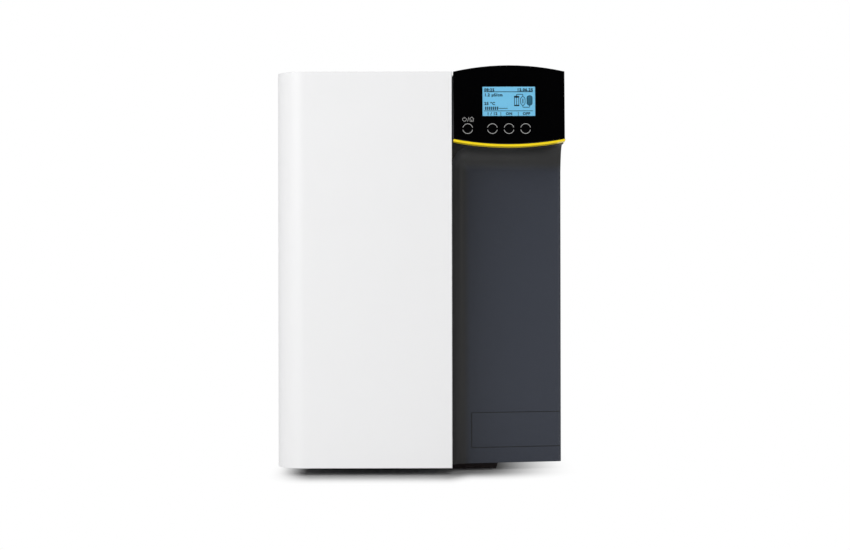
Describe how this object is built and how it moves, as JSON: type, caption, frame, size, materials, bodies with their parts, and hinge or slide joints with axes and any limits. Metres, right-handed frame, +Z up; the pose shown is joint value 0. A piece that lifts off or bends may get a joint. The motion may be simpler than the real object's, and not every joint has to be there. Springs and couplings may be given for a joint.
{
  "type": "laboratory water purifier",
  "caption": "Laboratory water purifier: white case with a hinged front door, dark set-back column with a coved niche, and a tilted display head with round keys.",
  "frame": {"origin": "bottom centre of the machine's bounding box, on the surface its feet stand on", "axes": "+Z up, -Y towards the user (door and display face -Y), +X to the user's right"},
  "size_m": [0.352, 0.5, 0.4999],
  "materials": {
    "white_cover": "fine satin powder coat",
    "white_moulding": "satin moulded",
    "dark_moulding": "fine texture, satin",
    "gloss_black": "high gloss",
    "housing_grey": "satin",
    "yellow_trim": "satin gloss",
    "clear_window": "clear",
    "screen_blue": "backlit display",
    "circuit_green": "solder mask",
    "component_black": "moulded",
    "power_supply_block": "metal case over a light inside",
    "sheet_steel": "zinc plated",
    "bright_steel": "bright",
    "natural_plastic": "natural moulded",
    "blue_plastic": "moulded",
    "rubber": "matte",
    "motor_paint": "satin",
    "brass": "machined",
    "hose": "smooth tube"
  },
  "bodies": {
    "case": {"base_pan": "sheet_steel", "bayonet_head": "blue_plastic", "bulkhead": "sheet_steel", "case_cover": "white_cover", "column_cover": "dark_moulding", "column_plate": "dark_moulding", "data_port": "bright_steel", "display_module": "screen_blue", "display_window": "clear_window", "door_magnet": "component_black", "drain_hose": "hose", "feed_hose": "hose", "front_foot": "rubber", "front_membrane_module": "white_moulding", "head_bezel": "gloss_black", "head_housing": "housing_grey", "hinge_post": "sheet_steel", "inlet_hose": "hose", "inlet_valve": "brass", "key_board": "circuit_green", "left_pump_mount": "rubber", "lower_hinge_pin": "bright_steel", "lower_module_clip": "natural_plastic", "main_board": "circuit_green", "mains_inlet": "component_black", "module_carrier": "natural_plastic", "module_link_hose": "hose", "power_supply": "power_supply_block", "product_hose": "hose", "pump_cradle": "sheet_steel", "pump_head": "brass", "pump_inlet_hose": "hose", "pump_motor": "motor_paint", "pump_outlet_hose": "hose", "rear_foot": "rubber", "rear_membrane_module": "white_moulding", "rear_panel": "white_cover", "rear_screw_1": "bright_steel", "rear_screw_2": "bright_steel", "rear_screw_3": "bright_steel", "rear_screw_4": "bright_steel", "right_pump_mount": "rubber", "sensor_socket": "bright_steel", "trim_strip": "yellow_trim", "upper_hinge_pin": "bright_steel", "upper_module_clip": "natural_plastic", "water_port_block": "natural_plastic"},
    "door": {"front_door": "white_moulding", "door_strike": "bright_steel"},
    "power_button": {"power_key": "gloss_black"},
    "left_button": {"left_key": "gloss_black"},
    "middle_button": {"middle_key": "gloss_black"},
    "right_button": {"right_key": "gloss_black"},
    "mains_rocker": {"rocker_switch": "component_black"},
    "fuse_tray": {"fuse_drawer": "component_black"},
    "cartridge": {"pretreatment_cartridge": "white_moulding", "cartridge_seal": "rubber"},
    "drain_release": {"drain_collet": "blue_plastic"},
    "product_release": {"product_collet": "blue_plastic"},
    "feed_release": {"feed_collet": "blue_plastic"}
  },
  "joints": [
    {"name": "door_hinge", "type": "hinge", "parent": "case", "child": "door", "pos_m": [-0.1685, -0.19, 0.25], "axis": [0, 0, -1], "range_deg": [0, 95]},
    {"name": "power_key_press", "type": "slide", "parent": "case", "child": "power_button", "axis": [0, 0.9968, -0.0802], "range_m": [0, 0.0005], "stiffness_N_per_m": 500, "springref_m": -0.001},
    {"name": "left_key_press", "type": "slide", "parent": "case", "child": "left_button", "axis": [0, 0.9968, -0.0802], "range_m": [0, 0.0005], "stiffness_N_per_m": 500, "springref_m": -0.001},
    {"name": "middle_key_press", "type": "slide", "parent": "case", "child": "middle_button", "axis": [0, 0.9968, -0.0802], "range_m": [0, 0.0005], "stiffness_N_per_m": 500, "springref_m": -0.001},
    {"name": "right_key_press", "type": "slide", "parent": "case", "child": "right_button", "axis": [0, 0.9968, -0.0802], "range_m": [0, 0.0005], "stiffness_N_per_m": 500, "springref_m": -0.001},
    {"name": "mains_rocker_tilt", "type": "hinge", "parent": "case", "child": "mains_rocker", "pos_m": [0.126, 0.2388, 0.0945], "axis": [1, 0, 0], "range_deg": [0, 14]},
    {"name": "fuse_drawer_slide", "type": "slide", "parent": "case", "child": "fuse_tray", "axis": [0, 1, 0], "range_m": [0, 0.015]},
    {"name": "cartridge_twist", "type": "hinge", "parent": "case", "child": "cartridge", "pos_m": [-0.104, -0.134, 0.2], "axis": [0, 0, 1], "range_deg": [0, 90]},
    {"name": "drain_collet_press", "type": "slide", "parent": "case", "child": "drain_release", "axis": [0, -1, 0], "range_m": [0, 0.0009], "stiffness_N_per_m": 500, "springref_m": -0.001},
    {"name": "product_collet_press", "type": "slide", "parent": "case", "child": "product_release", "axis": [0, -1, 0], "range_m": [0, 0.0009], "stiffness_N_per_m": 500, "springref_m": -0.001},
    {"name": "feed_collet_press", "type": "slide", "parent": "case", "child": "feed_release", "axis": [0, -1, 0], "range_m": [0, 0.0009], "stiffness_N_per_m": 500, "springref_m": -0.001}
  ]
}
